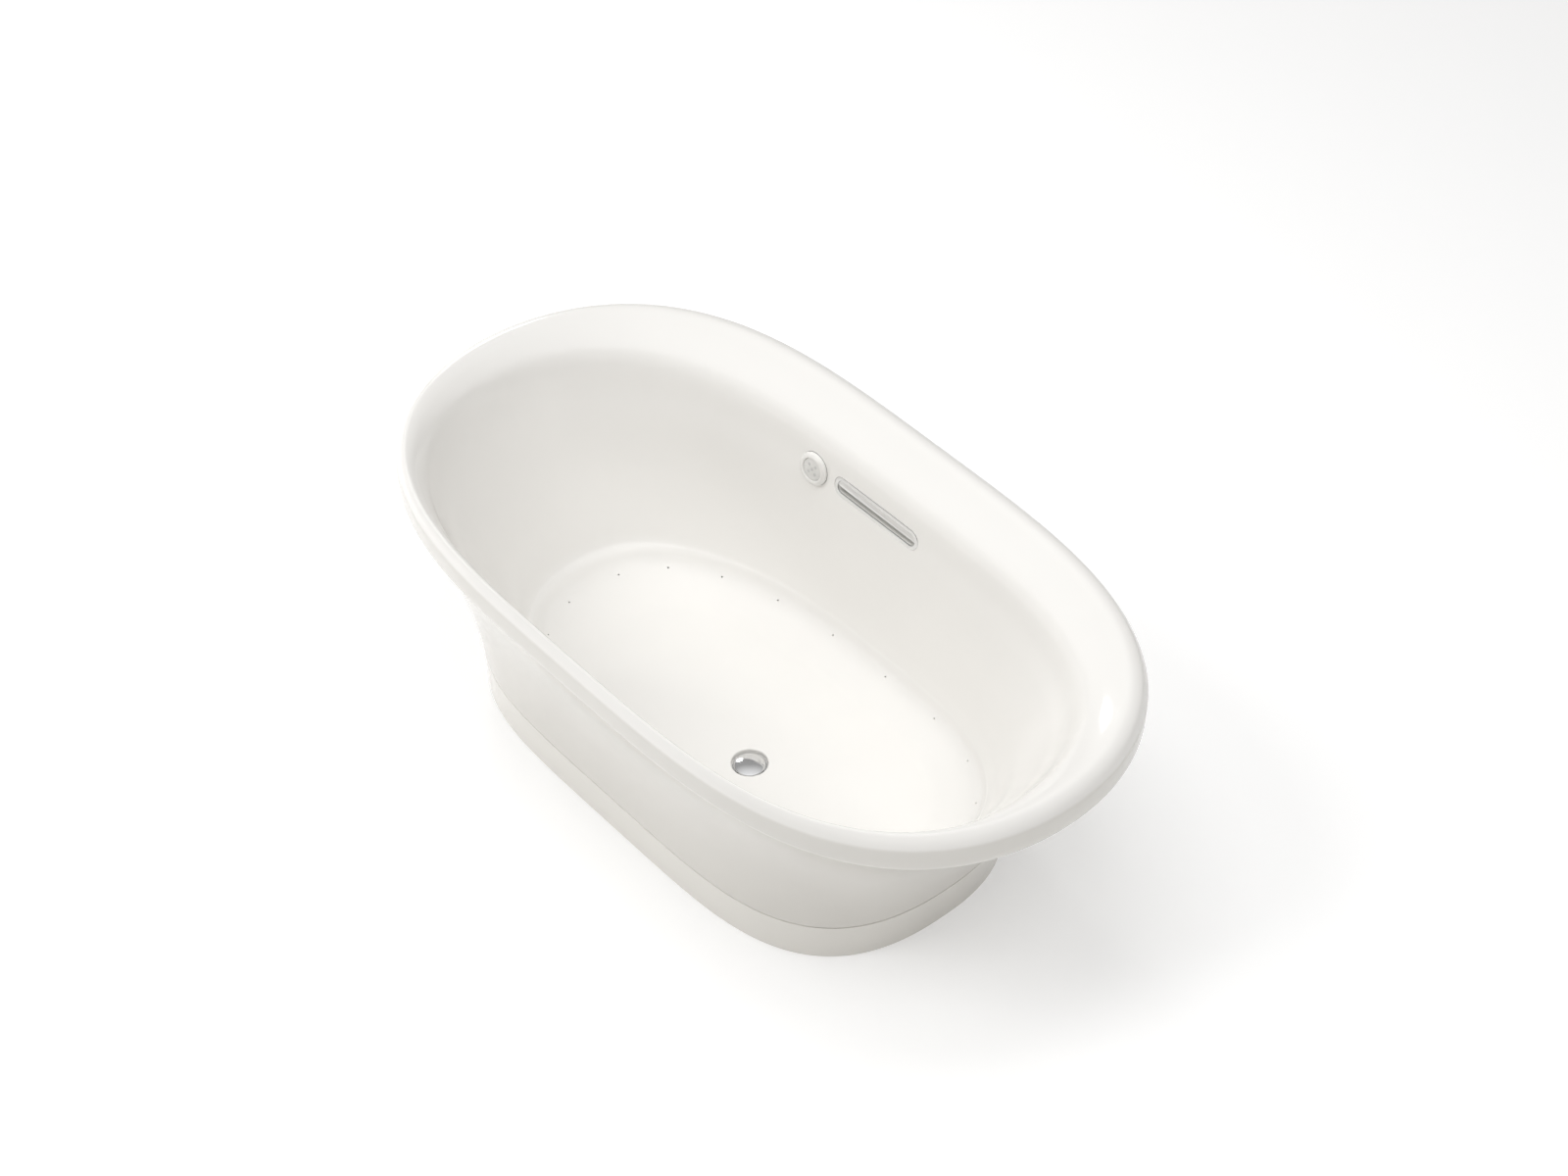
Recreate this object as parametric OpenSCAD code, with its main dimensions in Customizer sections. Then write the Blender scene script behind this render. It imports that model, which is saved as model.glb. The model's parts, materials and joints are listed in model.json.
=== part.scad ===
// Freestanding oval bathtub: an acrylic basin in a flared shroud on a plinth band,
// with a push stopper, a slot overflow, a round keypad, air jets and levelling feet.
// Origin: on the floor, at the centre of the rim. +X is the foot end, +Y is the wide deck side.

/* [Rim] */
// Overall length over the rim
tub_length = 1665; // [1655:1:1675]
// Overall width over the rim
tub_width = 912; // [908:1:916]
// Height of the widest line of the rim
edge_height = 548; // [545:1:551]
// Rise of the rim crest above its widest line
crest_rise = 30; // [27:1:32]
// Drop of the turned-down lip below the widest line
lip_drop = 43; // [38:1:46]
// Thickness of the acrylic basin
shell_thick = 6; // [5:0.5:6.5]

/* [Basin] */
// Height of the basin floor beside the drain
floor_height = 92; // [91.5:0.5:93]
// Height of the soft step that rings the floor
step_height = 150; // [146:1:154]
// Angle of the wall behind the keypad and the overflow, from upright
wall_tilt = 7.7; // [7:0.1:8.4]
// Number of air jets round the floor
jet_count = 20; // [12:1:24]
// Radius of an air jet
jet_r = 1.8; // [1.2:0.1:2.5]

/* [Shroud] */
// Half length of the footprint
foot_half_length = 584; // [580:1:588]
// Half width of the footprint
foot_half_width = 320; // [318:1:324]
// Shift of the footprint toward the head end
foot_shift = 61; // [56:1:64]
// How fast the shroud flares: higher keeps it upright for longer
flare = 1.93; // [1.85:0.01:2]
// Height of the joint between the shroud and the plinth band
seam_height = 89; // [86:1:92]
// Thickness of the shroud and the plinth band
shroud_thick = 5; // [4:0.5:5]

/* [Drain] */
// Drain centre, measured toward the foot end
drain_x = 50; // [40:1:60]
// Drain centre, measured toward the wide deck
drain_y = -65; // [-72:1:-58]
// Radius of the well that the stopper sits in
well_r = 36; // [35:0.5:38]
// Radius of the stopper cap
cap_r = 31; // [29:0.5:32]
// Radius of the tail pipe
tail_r = 20; // [19:0.5:20.5]

/* [Overflow] */
// Overflow centre, measured along the tub
slot_x = -21; // [-30:1:-12]
// Height of the overflow and of the keypad
slot_height = 466; // [460:1:472]
// Length of the overflow opening
slot_length = 228; // [210:1:232]
// Height of the overflow opening
slot_width = 34; // [30:1:36]

/* [Keypad] */
// Keypad centre, measured along the tub
keypad_x = -196; // [-200:1:-192]
// Radius of the keypad
keypad_r = 35; // [34:0.5:36]
// How far the keypad stands out of the wall
keypad_proud = 10; // [9:0.5:12]

/* [Feet] */
// Half spacing of the feet along the tub
foot_x = 360; // [340:5:380]
// Half spacing of the feet across the tub
foot_y = 170; // [165:1:175]
// Radius of a foot stud
stud_r = 6; // [5:0.5:6]
// Radius of a foot pad
pad_r = 22; // [18:1:24]

/* [Hidden] */

$fn = 64;
SEG = 72;
ACRYLIC = [0.95, 0.94, 0.91];
SHADE_ACRYLIC = [0.90, 0.89, 0.85];
CHROME = [0.80, 0.82, 0.84];
STEEL = [0.62, 0.64, 0.66];
BLACK_PLASTIC = [0.16, 0.16, 0.17];
GREY_PLASTIC = [0.62, 0.63, 0.65];
RUBBER = [0.10, 0.10, 0.11];

rim_a = tub_length / 2;
rim_b = tub_width / 2;
crest_z = edge_height + crest_rise;
lip_z = edge_height - lip_drop;
back_z = floor_height - shell_thick;
shroud_top = lip_z + 10;
shroud_end_inset = 42;
shroud_side_inset = 10.6;

// ---------- ovals ----------
// An oval is [z, head x, foot x, near y, far y, head squareness, foot squareness, side squareness].
function sgn(v) = v < 0 ? -1 : 1;

function oval_point(o, u) =
  let (
    cx = (o[1] + o[2]) / 2,
    a = (o[2] - o[1]) / 2,
    cy = (o[3] + o[4]) / 2,
    b = (o[4] - o[3]) / 2,
    c = cos(u),
    p = c < 0 ? o[5] : o[6],
    s = pow(max(0, 1 - pow(abs(c), p)), 1 / o[7])
  )
  [cx + a * c, cy + b * sgn(sin(u)) * s, o[0]];

function oval_ring(o, n = SEG) = [for (j = [0 : n - 1]) oval_point(o, 360 * j / n)];

function inset(o, end, side, z) =
  [z, o[1] + end, o[2] - end, o[3] + side, o[4] - side, o[5], o[6], o[7]];

edge = [edge_height, -rim_a, rim_a, -rim_b, rim_b, 3.55, 3.55, 2.06];

// The basin's visible skin, from the lip over the crest and down to the floor
basin_ovals = [
  inset(edge, 3, 3, lip_z),
  inset(edge, 0.5, 0.4, lip_z + 8),
  edge,
  inset(edge, 2.5, 2, edge_height + 14),
  inset(edge, 9.5, 7, edge_height + 24),
  [crest_z, -806, 806, -443, 428, 3.55, 3.55, 2.06],
  [crest_z - 5, -790, 790, -437, 408, 3.5, 3.7, 2.07],
  [crest_z - 18, -765, 768, -431, 362, 3.4, 4.0, 2.08],
  [545, -746, 752, -426, 331, 3.3, 4.4, 2.1],
  [520, -735, 738, -420, 318, 3.2, 4.4, 2.12],
  [470, -714, 706, -406, 311.2, 3.0, 4.2, 2.15],
  [420, -692, 670, -386, 304.6, 2.8, 4.0, 2.18],
  [300, -642, 592, -342, 299, 2.5, 3.8, 2.25],
  [185, -592, 530, -314, 294, 2.2, 3.7, 2.35],
  [step_height, -574, 506, -304, 289, 2.1, 3.7, 2.4],
  [122, -536, 492, -294, 282, 2.2, 3.8, 2.4],
  [102, -500, 474, -276, 268, 2.4, 3.9, 2.4],
  [96, -440, 420, -220, 205, 2.5, 3.6, 2.3],
  [floor_height, -340, 340, -185, 140, 2.4, 3.0, 2.2],
  [floor_height, drain_x - 70, drain_x + 70, drain_y - 70, drain_y + 70, 2, 2, 2]
];

function unit(v) = v / norm(v);

// Outward normal of a skin of rings, at ring i and point j
function skin_normal(g, i, j) =
  let (
    n = len(g[i]),
    along = g[min(i + 1, len(g) - 1)][j] - g[max(i - 1, 0)][j],
    round = g[i][(j + 1) % n] - g[i][(j + n - 1) % n]
  )
  unit(cross(round, along));

function behind(g, d) =
  [for (i = [0 : len(g) - 1]) [for (j = [0 : len(g[i]) - 1]) g[i][j] - d * skin_normal(g, i, j)]];

function reversed(v) = [for (i = [len(v) - 1 : -1 : 0]) v[i]];

// Footprint oval and shroud oval at height z
foot_oval = [0, -foot_half_length - foot_shift, foot_half_length - foot_shift,
  -foot_half_width, foot_half_width, 4.36, 4.36, 2.4];
shroud_oval = inset(edge, shroud_end_inset, shroud_side_inset, lip_z);

function shroud_ring(z, t) =
  let (
    k = pow(min(z, lip_z) / lip_z, flare),
    low = oval_ring(inset(foot_oval, t, t, z)),
    high = oval_ring(inset(shroud_oval, t, t, z))
  )
  [for (j = [0 : SEG - 1]) low[j] * (1 - k) + high[j] * k];

// ---------- solids from rings ----------
function side_faces(i, k, n) =
  [for (j = [0 : n - 1])
    let (a = i * n + j, b = i * n + (j + 1) % n, c = k * n + (j + 1) % n, d = k * n + j)
    each [[a, d, c], [a, c, b]]];

module ring_solid(rings, closed = false) {
  n = len(rings[0]);
  m = len(rings);
  walls = [for (i = [0 : m - 2]) each side_faces(i, i + 1, n)];
  shut = side_faces(m - 1, 0, n);
  caps = [[for (j = [0 : n - 1]) j], [for (j = [n - 1 : -1 : 0]) (m - 1) * n + j]];
  polyhedron(points = [for (r = rings) each r], faces = concat(walls, closed ? shut : caps));
}

// A round tube or lead along a smooth curve through hand-chosen points
function curve_point(p, i, t) =
  let (
    a = p[max(i - 1, 0)],
    b = p[i],
    c = p[i + 1],
    d = p[min(i + 2, len(p) - 1)]
  )
  0.5 * (2 * b + (c - a) * t + (2 * a - 5 * b + 4 * c - d) * t * t
    + (3 * b - 3 * c + d - a) * t * t * t);

function curve(p, steps) = concat(
  [for (i = [0 : len(p) - 2]) for (s = [0 : steps - 1]) curve_point(p, i, s / steps)],
  [p[len(p) - 1]]);

function hoop(q, i, r, side, sides) =
  let (
    t = unit(q[min(i + 1, len(q) - 1)] - q[max(i - 1, 0)]),
    a = unit(cross(t, side)),
    b = cross(t, a)
  )
  [for (k = [0 : sides - 1]) q[i] + r * (cos(360 * k / sides) * a + sin(360 * k / sides) * b)];

module tube_along(points, r, side, steps = 4, sides = 8) {
  q = curve(points, steps);
  ring_solid([for (i = [0 : len(q) - 1]) hoop(q, i, r, side, sides)]);
}

module hex_nut(z0, z1, flats, hole_r) {
  translate([0, 0, z0]) difference() {
    cylinder(r = flats / sqrt(3), h = z1 - z0, $fn = 6);
    translate([0, 0, -1]) cylinder(r = hole_r, h = z1 - z0 + 2);
  }
}

module ring(z0, z1, r_out, r_in) {
  translate([0, 0, z0]) difference() {
    cylinder(r = r_out, h = z1 - z0);
    translate([0, 0, -1]) cylinder(r = r_in, h = z1 - z0 + 2);
  }
}

module stadium(length, width, z0, z1) {
  reach = (length - width) / 2;
  translate([0, 0, z0]) union() {
    translate([-reach, -width / 2, 0]) cube([2 * reach, width, z1 - z0]);
    for (s = [-1, 1]) translate([s * reach, 0, 0]) cylinder(r = width / 2, h = z1 - z0);
  }
}

// ---------- places ----------
wall_y = 304.6 + (slot_height - 420) * tan(wall_tilt);
keypad_y = wall_y - 3.4;
keypad_yaw = 3;
land = 10;
seat = 1.5;

// Local frames on the wall: +Z points out of the wall into the basin
module at_slot() {
  translate([slot_x, wall_y, slot_height]) rotate([90 - wall_tilt, 0, 0]) children();
}

module at_keypad() {
  translate([keypad_x, keypad_y, slot_height]) rotate([0, 0, keypad_yaw])
    rotate([90 - wall_tilt, 0, 0]) children();
}

module at_drain() {
  translate([drain_x, drain_y, 0]) children();
}

// ---------- basin ----------
well_floor = 80;
boss_bottom = 74;
boss_r = 46;
barrel_hole_r = 25.5;
jet_step = 15;
jet_z = 112;
keypad_hole_r = 22;

module jets() {
  upper = basin_ovals[jet_step];
  lower = basin_ovals[jet_step + 1];
  for (k = [0 : jet_count - 1]) {
    u = 360 * (k + 0.5) / jet_count;
    p = (oval_point(upper, u) + oval_point(lower, u)) / 2;
    turn = atan2(p[1], p[0]);
    translate([p[0], p[1], jet_z]) rotate([0, -35, turn])
      cylinder(r = jet_r, h = 40, center = true, $fn = 16);
  }
}

module basin_shell() {
  skin = [for (o = basin_ovals) oval_ring(o)];
  back = behind(skin, shell_thick);
  color(ACRYLIC) difference() {
    union() {
      ring_solid(concat(reversed(back), skin));
      at_drain() translate([0, 0, boss_bottom]) cylinder(r = boss_r, h = floor_height - 1 - boss_bottom);
      at_slot() stadium(slot_length + 26, slot_width + 20, -land, -2);
      at_keypad() translate([0, 0, -land]) cylinder(r = keypad_r + 7, h = land - 2);
    }
    at_drain() translate([0, 0, well_floor]) cylinder(r = well_r, h = 40);
    at_drain() cylinder(r = barrel_hole_r, h = 100);
    at_slot() stadium(slot_length, slot_width, -40, 20);
    at_slot() stadium(slot_length + 10, slot_width + 10, -seat, 20);
    at_keypad() translate([0, 0, -40]) cylinder(r = keypad_hole_r, h = 60);
    at_keypad() translate([0, 0, -seat]) cylinder(r = keypad_r + 0.5, h = 30);
    jets();
  }
}

// ---------- shroud and plinth ----------
seam_gap = 1.5;
plinth_bottom = 2;
tongue_z = 104;
tongue_thick = 3;

module outer_shroud() {
  rise = [seam_height + seam_gap, 140, 200, 260, 320, 380, 440, lip_z, shroud_top];
  color(SHADE_ACRYLIC) ring_solid(concat(
    [for (z = rise) shroud_ring(z, 0)],
    [for (z = reversed(rise)) shroud_ring(z, shroud_thick)]), closed = true);
}

module plinth_band() {
  t = shroud_thick;
  slip = t + 0.6;
  color(SHADE_ACRYLIC) ring_solid([
    shroud_ring(plinth_bottom, 0),
    shroud_ring(45, 0),
    shroud_ring(seam_height, 0),
    shroud_ring(seam_height, slip),
    shroud_ring(tongue_z, slip),
    shroud_ring(tongue_z, slip + tongue_thick),
    shroud_ring(70, slip + tongue_thick),
    shroud_ring(64, t),
    shroud_ring(plinth_bottom, t)], closed = true);
}

module rim_seal() {
  z0 = lip_z + 3;
  z1 = lip_z + 9;
  gap = 0.5;
  lip_gap = shell_thick + 2.6;
  color(GREY_PLASTIC) ring_solid([
    oval_ring(inset(edge, lip_gap, lip_gap, z0)),
    oval_ring(inset(edge, lip_gap, lip_gap, z1)),
    oval_ring(inset(shroud_oval, -gap, -gap, z1)),
    oval_ring(inset(shroud_oval, -gap, -gap, z0))], closed = true);
}

// ---------- support frame ----------
rail_z = 38;
rail_size = 30;
rail_wall = 2;
rail_head = -460;
rail_foot = 430;
board_bottom = rail_z + rail_size;
board_top = back_z - 0.3;
board_x = -20;
board_length = 940;
board_width = 444;
cross_x = [-450, -250, 220, 400];

module base_board() {
  color([0.70, 0.55, 0.38]) difference() {
    translate([board_x, 0, 0]) stadium(board_length, board_width, board_bottom, board_top);
    at_drain() cylinder(r = boss_r + 8, h = 120);
  }
}

module support_rail(side) {
  color(STEEL) difference() {
    translate([rail_head, side * foot_y - rail_size / 2, rail_z])
      cube([rail_foot - rail_head, rail_size, rail_size]);
    translate([rail_head - 1, side * foot_y - rail_size / 2 + rail_wall, rail_z + rail_wall])
      cube([rail_foot - rail_head + 2, rail_size - 2 * rail_wall, rail_size - 2 * rail_wall]);
    for (s = [-1, 1])
      translate([s * foot_x, side * foot_y, rail_z - 1]) cylinder(r = stud_r + 1.5, h = rail_wall + 2);
    for (x = bracket_x)
      translate([x, side * foot_y, rail_z - 1]) cylinder(r = 2.7, h = rail_wall + 2);
  }
}

module support_rail_near() { support_rail(-1); }
module support_rail_far() { support_rail(1); }

module cross_members() {
  reach = foot_y - rail_size / 2;
  color(STEEL) for (x = cross_x)
    translate([x, -reach, rail_z + 4]) difference() {
      translate([-15, 0, 0]) cube([30, 2 * reach, 22]);
      translate([-13, -1, 2]) cube([26, 2 * reach + 2, 18]);
    }
}

// ---------- levelling feet ----------
foot_places = [[-foot_x, -foot_y], [-foot_x, foot_y], [foot_x, -foot_y], [foot_x, foot_y]];
nut_z = 29.5;
cup_top = 11;
stud_top = 58;

module at_feet() {
  for (p = foot_places) translate([p[0], p[1], 0]) children();
}

module weld_nuts() {
  color(STEEL) at_feet() hex_nut(nut_z, rail_z, 19, stud_r + 0.05);
}

module foot_locknuts() {
  color(STEEL) at_feet() hex_nut(nut_z - 7.3, nut_z - 0.3, 19, stud_r + 0.05);
}

module foot_pad(i) {
  p = foot_places[i - 1];
  color(RUBBER) translate([p[0], p[1], 0]) difference() {
    rotate_extrude() polygon([[0, 0], [pad_r - 2, 0], [pad_r, 2], [pad_r, 5], [12, cup_top], [0, cup_top]]);
    translate([0, 0, 4]) cylinder(r = stud_r + 2.1, h = 20);
  }
}

module foot_stud(i) {
  p = foot_places[i - 1];
  color(STEEL) translate([p[0], p[1], 0]) union() {
    translate([0, 0, 4]) cylinder(r = stud_r + 2, h = 5);
    translate([0, 0, 9]) cylinder(r = stud_r, h = stud_top - 9);
    translate([0, 0, 12.5]) cylinder(r = 16 / sqrt(3), h = 5, $fn = 6);
  }
}

module foot_pad_1() { foot_pad(1); }
module foot_pad_2() { foot_pad(2); }
module foot_pad_3() { foot_pad(3); }
module foot_pad_4() { foot_pad(4); }
module foot_stud_1() { foot_stud(1); }
module foot_stud_2() { foot_stud(2); }
module foot_stud_3() { foot_stud(3); }
module foot_stud_4() { foot_stud(4); }

// ---------- plinth brackets ----------
bracket_x = [-foot_shift - 200, -foot_shift + 200];
bracket_reach = foot_half_width - shroud_thick - 2;
bracket_thick = 3;

module plinth_brackets() {
  start = foot_y - rail_size / 2 + 2;
  color(STEEL) for (x = bracket_x) for (turn = [0, 180])
    translate([x, 0, rail_z]) rotate([0, 0, turn]) difference() {
      union() {
        translate([-20, start, -bracket_thick]) cube([40, bracket_reach - start, bracket_thick]);
        translate([-20, bracket_reach - bracket_thick, -26]) cube([40, bracket_thick, 26]);
      }
      translate([0, foot_y, -10]) cylinder(r = 2.7, h = 20);
    }
}

module bracket_screws() {
  color(STEEL) for (x = bracket_x) for (s = [-1, 1])
    translate([x, s * foot_y, rail_z - bracket_thick]) union() {
      translate([0, 0, -3]) cylinder(r = 5, h = 3);
      cylinder(r = 2.5, h = 7);
    }
}

// ---------- drain ----------
barrel_r = 24.5;
bore_r = 20.5;
hub_r = 8;
stem_r = 3;
flange_top = well_floor + 2;
cap_bottom = flange_top + 2;
barrel_bottom = 50;
branch_z = 35;
branch_end = 60;
hose_r = 8.5;

module drain_body() {
  color(CHROME) at_drain() union() {
    rotate_extrude() polygon([
      [bore_r, barrel_bottom], [barrel_r, barrel_bottom], [barrel_r, well_floor],
      [33, well_floor], [34, well_floor + 1], [33, flange_top], [bore_r, flange_top]]);
    ring(66, 76, hub_r, stem_r + 0.06);
    for (k = [0 : 2]) rotate([0, 0, 60 + 120 * k])
      translate([hub_r - 1, -1.5, 70]) cube([bore_r - hub_r + 2.5, 3, 5]);
  }
}

module drain_gasket() {
  color(RUBBER) at_drain() ring(boss_bottom - 3, boss_bottom, 38, barrel_r + 0.4);
}

module drain_locknut() {
  color(GREY_PLASTIC) at_drain() hex_nut(boss_bottom - 11, boss_bottom - 3, 66, barrel_r + 0.1);
}

module drain_cap() {
  dome = 6.5;
  arc = [for (k = [0 : 8]) let (r = cap_r * k / 8) [r, cap_bottom + dome - 4 * pow(k / 8, 2.6)]];
  color(CHROME) at_drain() rotate_extrude()
    polygon(concat(arc, [[cap_r, cap_bottom + 1], [cap_r - 1, cap_bottom], [0, cap_bottom]]));
}

module stopper_seal() {
  color(RUBBER) at_drain() ring(flange_top + 0.2, cap_bottom, 27, 22.5);
}

module stopper_stem() {
  color(STEEL) at_drain() union() {
    translate([0, 0, 58]) cylinder(r = stem_r, h = cap_bottom - 58);
    translate([0, 0, cap_bottom - 6]) cylinder(r = 6, h = 6);
  }
}

tee_bottom = 20;
socket_top = 30;
nut_drop = 7;

module waste_tee() {
  color(BLACK_PLASTIC) at_drain() difference() {
    union() {
      translate([0, 0, tee_bottom]) cylinder(r = 25, h = 28);
      translate([0, 0, 44]) cylinder(r = 29, h = 17);
      translate([0, 0, branch_z]) rotate([-90, 0, 0]) cylinder(r = hose_r, h = branch_end);
    }
    translate([0, 0, barrel_bottom - 1]) cylinder(r = barrel_r + 0.1, h = 20);
    translate([0, 0, socket_top - 1]) cylinder(r = 18, h = 30);
    translate([0, 0, tee_bottom - 1]) cylinder(r = tail_r - 0.3, h = socket_top - tee_bottom + 1);
    translate([0, 0, branch_z]) rotate([-90, 0, 0]) cylinder(r = hose_r - 2, h = branch_end + 1);
  }
}

module tail_pipe() {
  step_z = tee_bottom - nut_drop;
  color(CHROME) at_drain() rotate_extrude() polygon([
    [tail_r - 2, 3], [tail_r, 3], [tail_r, step_z],
    [tail_r - 0.4, step_z], [tail_r - 0.4, socket_top - 0.5], [tail_r - 2, socket_top - 0.5]]);
}

module tail_nut() {
  color(BLACK_PLASTIC) at_drain()
    hex_nut(tee_bottom - nut_drop + 0.2, tee_bottom - 0.2, 58, tail_r - 0.3);
}

// ---------- overflow ----------
module overflow_trim() {
  color(CHROME) at_slot() difference() {
    union() {
      stadium(slot_length + 9, slot_width + 9, -seat, 1.2);
      stadium(slot_length - 1, slot_width - 1, -13, -seat);
    }
    stadium(slot_length - 7, slot_width - 7, -20, 5);
  }
}

bar_low = -2;

module overflow_bar() {
  color(CHROME) at_slot() intersection() {
    stadium(slot_length - 7.6, slot_width - 7.6, -8, -0.8);
    translate([-slot_length, bar_low, -9]) cube([2 * slot_length, slot_width, 12]);
  }
}

module overflow_gasket() {
  color(RUBBER) at_slot() difference() {
    stadium(slot_length + 22, slot_width + 16, -land - 2, -land);
    stadium(slot_length + 1, slot_width + 1, -land - 3, 0);
  }
}

port = [-14, -24, -26];
port_end = -46;

module overflow_housing() {
  color(BLACK_PLASTIC) at_slot() difference() {
    union() {
      stadium(slot_length + 22, slot_width + 16, -40, -land - 2);
      translate(port) rotate([90, 0, 0]) cylinder(r = hose_r, h = port[1] - port_end);
    }
    stadium(slot_length + 4, slot_width + 4, -37, 0);
    translate([port[0], 0, port[2]]) rotate([90, 0, 0]) cylinder(r = hose_r - 2, h = 60);
  }
}

tee_end = [drain_x, drain_y + branch_end, branch_z];
port_foot = [slot_x + port[0], wall_y + port_end * sin(wall_tilt) - port[2] * cos(wall_tilt),
  slot_height + port_end * cos(wall_tilt) + port[2] * sin(wall_tilt)];
hose_x = port_foot[0];
hose_route = [[hose_x, 327, 395], [hose_x, 321, 330], [hose_x, 317, 260], [hose_x, 311, 160],
  [hose_x, 304, 100], [hose_x, 298, 62], [hose_x + 6, 278, 34], [hose_x + 20, 240, 26],
  [20, 170, 26], [44, 90, 27], [drain_x, 34, 34]];
sleeve_grip = 17;
sleeve_wall = 2.5;
clamp_width = 8;

// The tee end and the housing end of the hose: +Z points off the fitting
module at_tee_end() {
  translate(tee_end) rotate([-90, 0, 0]) children();
}

module at_port_end() {
  at_slot() translate([port[0], port_end, port[2]]) rotate([90, 0, 0]) children();
}

module hose_sleeve() {
  difference() {
    translate([0, 0, -sleeve_grip]) cylinder(r = hose_r + sleeve_wall, h = sleeve_grip + 4);
    translate([0, 0, -sleeve_grip - 1]) cylinder(r = hose_r + 0.1, h = sleeve_grip + 1.4);
  }
}

module overflow_hose() {
  color(GREY_PLASTIC) union() {
    tube_along(concat([port_foot + [0, -0.13, -1]], hose_route, [tee_end + [0, 1, 0]]), hose_r,
      [1, 0, 0], steps = 3);
    at_tee_end() hose_sleeve();
    at_port_end() hose_sleeve();
  }
}

module hose_clamps() {
  clamp_r = hose_r + sleeve_wall + 0.1;
  color(STEEL) {
    at_tee_end() ring(-sleeve_grip + 3, -sleeve_grip + 3 + clamp_width, clamp_r + 1.5, clamp_r);
    at_port_end() ring(-sleeve_grip + 3, -sleeve_grip + 3 + clamp_width, clamp_r + 1.5, clamp_r);
  }
}

// ---------- keypad ----------
key_r = 3.2;
key_ring_r = 12;
key_top = 9;
face_top = 8.3;

module keypad_housing() {
  color(BLACK_PLASTIC) at_keypad() rotate_extrude() polygon([
    [3, -32], [keypad_hole_r - 0.5, -32], [keypad_hole_r - 0.5, -seat + 0.2], [keypad_r - 0.6, -seat + 0.2],
    [keypad_r - 0.6, 0.7], [19.4, 0.7], [19.4, -30], [3, -30]]);
}

module keypad_nut() {
  color(BLACK_PLASTIC) at_keypad() hex_nut(-land - 8, -land, 58, keypad_hole_r - 0.4);
}

module keypad_board() {
  color([0.12, 0.36, 0.20]) at_keypad() translate([0, 0, -3]) cylinder(r = 19, h = 1.6);
}

module keypad_bezel() {
  p = keypad_proud;
  color(ACRYLIC) at_keypad() rotate_extrude() polygon([
    [keypad_r - 0.3, 0.9], [keypad_r, 2], [keypad_r - 0.7, p - 4.5], [keypad_r - 3, p - 1.2],
    [keypad_r - 6, p], [25, p], [23, p - 1.4], [23, 3.5], [27, 3.5], [27, 0.9]]);
}

module keypad_face() {
  color(GREY_PLASTIC) at_keypad() difference() {
    rotate_extrude() polygon([
      [0, 5.6], [18, 5.6], [18, 1.2], [26.4, 1.2], [26.4, 3.2],
      [22.6, 3.2], [22.6, face_top], [0, face_top]]);
    cylinder(r = key_r + 0.3, h = 30);
    for (k = [0 : 3]) rotate([0, 0, 45 + 90 * k]) translate([key_ring_r, 0, 0])
      cylinder(r = key_r + 0.3, h = 30);
  }
}

module key_at(r, turn) {
  color([0.35, 0.36, 0.38]) at_keypad() rotate([0, 0, turn]) translate([r, 0, 0]) union() {
    translate([0, 0, 2]) cylinder(r = key_r, h = key_top - 2);
    translate([0, 0, 3.6]) cylinder(r = key_r + 1.4, h = 1.2);
  }
}

module key_power() { key_at(0, 0); }
module key_heat() { key_at(key_ring_r, 135); }
module key_air() { key_at(key_ring_r, 45); }
module key_more() { key_at(key_ring_r, -45); }
module key_less() { key_at(key_ring_r, -135); }

// ---------- electrics ----------
box = [-606, -60, 12.3];
box_size = [76, 120, 46];
box_wall = 2.5;
tray_z = 10;

lead_route = [[-197.7, 339.3, 461.7], [-200, 352, 458], [-208, 357, 435], [-226, 346, 340], [-255, 332, 250],
  [-290, 312, 170], [-330, 298, 105], [-400, 268, 60], [-480, 205, 38], [-545, 120, 36],
  [-568, 85, 36], [-568, 60.6, 36]];

module keypad_lead() {
  color(BLACK_PLASTIC) tube_along(lead_route, 2.5, [1, 0, 0.6], steps = 3, sides = 8);
}

module control_tray() {
  color(STEEL) union() {
    translate([-612, -64, tray_z]) cube([612 - 467, 128, 2]);
    translate([-467, -64, tray_z]) cube([2, 128, 54]);
  }
}

module control_box() {
  w = box_wall;
  color(GREY_PLASTIC) difference() {
    translate(box) cube(box_size);
    translate(box + [w, w, w]) cube([box_size[0] - 2 * w, box_size[1] - 2 * w, box_size[2]]);
  }
}

module control_lid() {
  w = box_wall + 0.4;
  color(GREY_PLASTIC) translate(box + [0, 0, box_size[2]]) union() {
    cube([box_size[0], box_size[1], 3]);
    translate([w, w, -4]) cube([box_size[0] - 2 * w, box_size[1] - 2 * w, 4]);
  }
}

module power_gland() {
  color(BLACK_PLASTIC) translate([box[0], 0, 36]) rotate([0, -90, 0]) ring(0, 14, 8, 4);
}

// The heater lines the hidden side of the backrest, along one run of the shell's rows
heater_first = 29;
heater_last = 43;
heater_gap = 0.4;
heater_thick = 1.5;

function between(a, b, t) = [for (j = [heater_first : heater_last]) a[j] * (1 - t) + b[j] * t];

// Rows at depth d behind the skin, from the heater's lower edge to its upper edge
function heater_rows(d) =
  let (g = behind([for (o = basin_ovals) oval_ring(o)], d))
  [between(g[12], g[13], 0.9), between(g[12], g[13], 0), between(g[11], g[12], 0)];

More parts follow.
